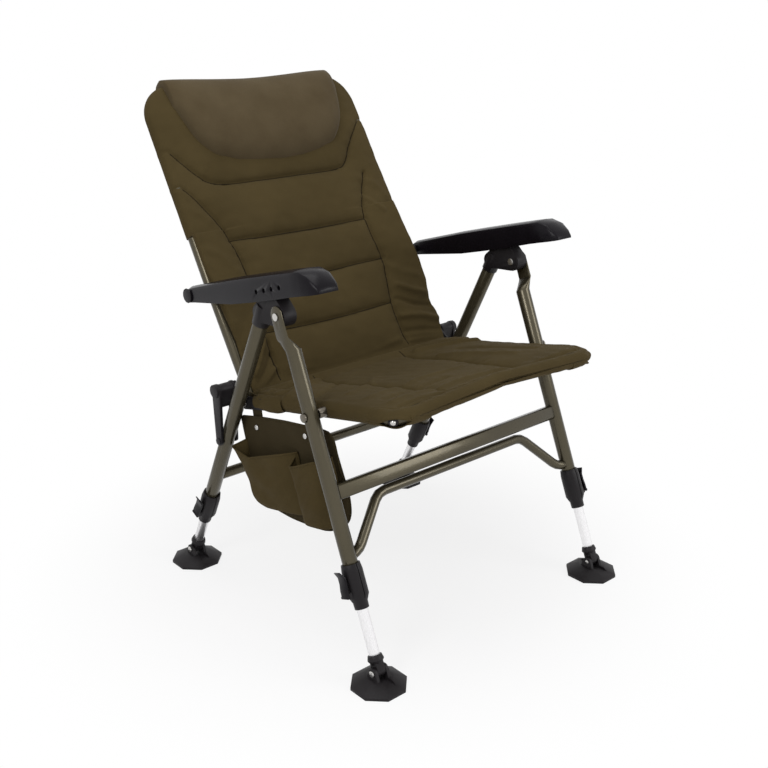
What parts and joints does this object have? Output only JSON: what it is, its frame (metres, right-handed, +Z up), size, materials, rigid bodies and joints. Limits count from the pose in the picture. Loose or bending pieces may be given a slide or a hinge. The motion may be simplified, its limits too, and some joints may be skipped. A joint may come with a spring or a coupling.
{
  "type": "carp fishing chair",
  "caption": "Folding fishing chair: padded sling seat and reclining padded back with headrest pillow, stepped armrests, side pocket, extending legs on tilting foot pads.",
  "frame": {"origin": "on the ground under the middle of the chair's bounding box", "axes": "+Z up, the chair faces -Y, the sitter's right side is at -X"},
  "size_m": [0.678, 0.8218, 0.9654],
  "materials": {
    "painted_frame": "satin olive-grey paint",
    "bright_tube": "clear anodised",
    "bright_steel": "polished",
    "black_plastic": "moulded matte",
    "arm_plastic": "moulded satin",
    "canvas": "woven olive polyester",
    "fleece": "soft fleece"
  },
  "bodies": {
    "front_frame": {"front_leg_right": "painted_frame", "front_leg_left": "painted_frame", "front_crossbar": "painted_frame", "front_brace": "painted_frame", "front_clamp_right": "black_plastic", "front_clamp_left": "black_plastic", "seat_bolt_right": "bright_steel", "seat_bolt_left": "bright_steel", "leg_rivet_right": "bright_steel", "leg_rivet_left": "bright_steel"},
    "rear_frame": {"rear_leg_right": "painted_frame", "rear_leg_left": "painted_frame", "rear_crossbar": "painted_frame", "rear_clamp_right": "black_plastic", "rear_clamp_left": "black_plastic", "leg_bracket_right": "black_plastic", "leg_bracket_left": "black_plastic", "ratchet_pin_right": "bright_steel", "ratchet_pin_left": "bright_steel"},
    "seat": {"seat_frame": "painted_frame", "seat_pad": "canvas", "hinge_bracket_right": "black_plastic", "hinge_bracket_left": "black_plastic", "side_pocket": "canvas", "pocket_strap_rear": "canvas", "pocket_strap_front": "canvas"},
    "hinge_pins": {"hinge_pin_right": "bright_steel", "hinge_pin_left": "bright_steel", "seat_back_wedge": "canvas"},
    "back": {"back_frame": "painted_frame", "back_pad": "canvas", "headrest_pillow": "fleece"},
    "arm_pins": {"arm_pivot_right": "black_plastic", "arm_pivot_left": "black_plastic"},
    "armrest_right": {"armrest_right": "arm_plastic"},
    "rear_link_right": {"rear_link_right": "black_plastic"},
    "front_inner_leg_right": {"front_inner_leg_right": "bright_tube", "front_ankle_right": "black_plastic"},
    "front_foot_right": {"front_foot_pad_right": "black_plastic", "front_ankle_pin_right": "bright_steel"},
    "front_lever_right": {"front_lever_right": "arm_plastic"},
    "rear_inner_leg_right": {"rear_inner_leg_right": "bright_tube", "rear_ankle_right": "black_plastic"},
    "rear_foot_right": {"rear_foot_pad_right": "black_plastic", "rear_ankle_pin_right": "bright_steel"},
    "rear_lever_right": {"rear_lever_right": "arm_plastic"},
    "armrest_left": {"armrest_left": "arm_plastic"},
    "rear_link_left": {"rear_link_left": "black_plastic"},
    "front_inner_leg_left": {"front_inner_leg_left": "bright_tube", "front_ankle_left": "black_plastic"},
    "front_foot_left": {"front_foot_pad_left": "black_plastic", "front_ankle_pin_left": "bright_steel"},
    "front_lever_left": {"front_lever_left": "arm_plastic"},
    "rear_inner_leg_left": {"rear_inner_leg_left": "bright_tube", "rear_ankle_left": "black_plastic"},
    "rear_foot_left": {"rear_foot_pad_left": "black_plastic", "rear_ankle_pin_left": "bright_steel"},
    "rear_lever_left": {"rear_lever_left": "arm_plastic"}
  },
  "joints": [
    {"name": "fold", "type": "hinge", "parent": "front_frame", "child": "seat", "pos_m": [0, -0.18744, 0.44997], "axis": [-1, 0, 0], "range_deg": [0, 75], "deforming": ["side_pocket", "pocket_strap_rear", "pocket_strap_front"]},
    {"name": "rear_legs_swing", "type": "hinge", "parent": "front_frame", "child": "rear_frame", "pos_m": [0, -0.11921, 0.61405], "axis": [-1, 0, 0], "range_deg": [0, 47.11]},
    {"name": "hinge_fold", "type": "hinge", "parent": "seat", "child": "hinge_pins", "pos_m": [0, 0.04795, 0.40015], "axis": [-1, 0, 0], "range_deg": [-81.01, 0], "deforming": ["seat_back_wedge"]},
    {"name": "recline", "type": "hinge", "parent": "hinge_pins", "child": "back", "pos_m": [0, 0.04795, 0.40015], "axis": [-1, 0, 0], "range_deg": [-7, 14]},
    {"name": "arm_fold", "type": "hinge", "parent": "back", "child": "arm_pins", "pos_m": [0, 0.16784, 0.59054], "axis": [-1, 0, 0], "range_deg": [0, 108.76]},
    {"name": "armrest_right_tilt", "type": "hinge", "parent": "arm_pins", "child": "armrest_right", "pos_m": [-0.291, 0.16784, 0.59054], "axis": [-1, 0, 0], "range_deg": [-9.81, 4.91]},
    {"name": "rear_link_right_swing", "type": "hinge", "parent": "rear_frame", "child": "rear_link_right", "pos_m": [-0.291, 0.07876, 0.32221], "axis": [-1, 0, 0], "range_deg": [0, 98.71]},
    {"name": "armrest_left_tilt", "type": "hinge", "parent": "arm_pins", "child": "armrest_left", "pos_m": [0.291, 0.16784, 0.59054], "axis": [-1, 0, 0], "range_deg": [-9.81, 4.91]},
    {"name": "rear_link_left_swing", "type": "hinge", "parent": "rear_frame", "child": "rear_link_left", "pos_m": [0.291, 0.07876, 0.32221], "axis": [-1, 0, 0], "range_deg": [0, 98.71]},
    {"name": "front_leg_right_slide", "type": "slide", "parent": "front_frame", "child": "front_inner_leg_right", "axis": [0, -0.384, -0.9233], "range_m": [-0.06, 0.09]},
    {"name": "front_foot_right_tilt", "type": "hinge", "parent": "front_inner_leg_right", "child": "front_foot_right", "pos_m": [-0.291, -0.36291, 0.028], "axis": [1, 0, 0], "range_deg": [-25, 25]},
    {"name": "front_lever_right_flip", "type": "hinge", "parent": "front_frame", "child": "front_lever_right", "pos_m": [-0.3188, -0.30839, 0.15912], "axis": [0, -0.9233, 0.384], "range_deg": [0, 85]},
    {"name": "front_leg_left_slide", "type": "slide", "parent": "front_frame", "child": "front_inner_leg_left", "axis": [0, -0.384, -0.9233], "range_m": [-0.06, 0.09]},
    {"name": "front_foot_left_tilt", "type": "hinge", "parent": "front_inner_leg_left", "child": "front_foot_left", "pos_m": [0.291, -0.36291, 0.028], "axis": [1, 0, 0], "range_deg": [-25, 25]},
    {"name": "front_lever_left_flip", "type": "hinge", "parent": "front_frame", "child": "front_lever_left", "pos_m": [0.3188, -0.30839, 0.15912], "axis": [0, 0.9233, -0.384], "range_deg": [0, 85]},
    {"name": "rear_leg_right_slide", "type": "slide", "parent": "rear_frame", "child": "rear_inner_leg_right", "axis": [0, 0.4387, -0.8986], "range_m": [-0.06, 0.09]},
    {"name": "rear_foot_right_tilt", "type": "hinge", "parent": "rear_inner_leg_right", "child": "rear_foot_right", "pos_m": [-0.291, 0.22239, 0.028], "axis": [1, 0, 0], "range_deg": [-25, 25]},
    {"name": "rear_lever_right_flip", "type": "hinge", "parent": "rear_frame", "child": "rear_lever_right", "pos_m": [-0.3188, 0.16975, 0.13584], "axis": [0, -0.8986, -0.4387], "range_deg": [0, 85]},
    {"name": "rear_leg_left_slide", "type": "slide", "parent": "rear_frame", "child": "rear_inner_leg_left", "axis": [0, 0.4387, -0.8986], "range_m": [-0.06, 0.09]},
    {"name": "rear_foot_left_tilt", "type": "hinge", "parent": "rear_inner_leg_left", "child": "rear_foot_left", "pos_m": [0.291, 0.22239, 0.028], "axis": [1, 0, 0], "range_deg": [-25, 25]},
    {"name": "rear_lever_left_flip", "type": "hinge", "parent": "rear_frame", "child": "rear_lever_left", "pos_m": [0.3188, 0.16975, 0.13584], "axis": [0, 0.8986, 0.4387], "range_deg": [0, 85]}
  ],
  "couplings": [
    {"joint": "rear_legs_swing", "follows": "fold", "ratio": 0.628},
    {"joint": "hinge_fold", "follows": "fold", "ratio": -1.08},
    {"joint": "arm_fold", "follows": "fold", "ratio": 1.45},
    {"joint": "armrest_right_tilt", "follows": "recline", "ratio": -0.7},
    {"joint": "rear_link_right_swing", "follows": "fold", "ratio": 1.316},
    {"joint": "armrest_left_tilt", "follows": "recline", "ratio": -0.7},
    {"joint": "rear_link_left_swing", "follows": "fold", "ratio": 1.316}
  ]
}
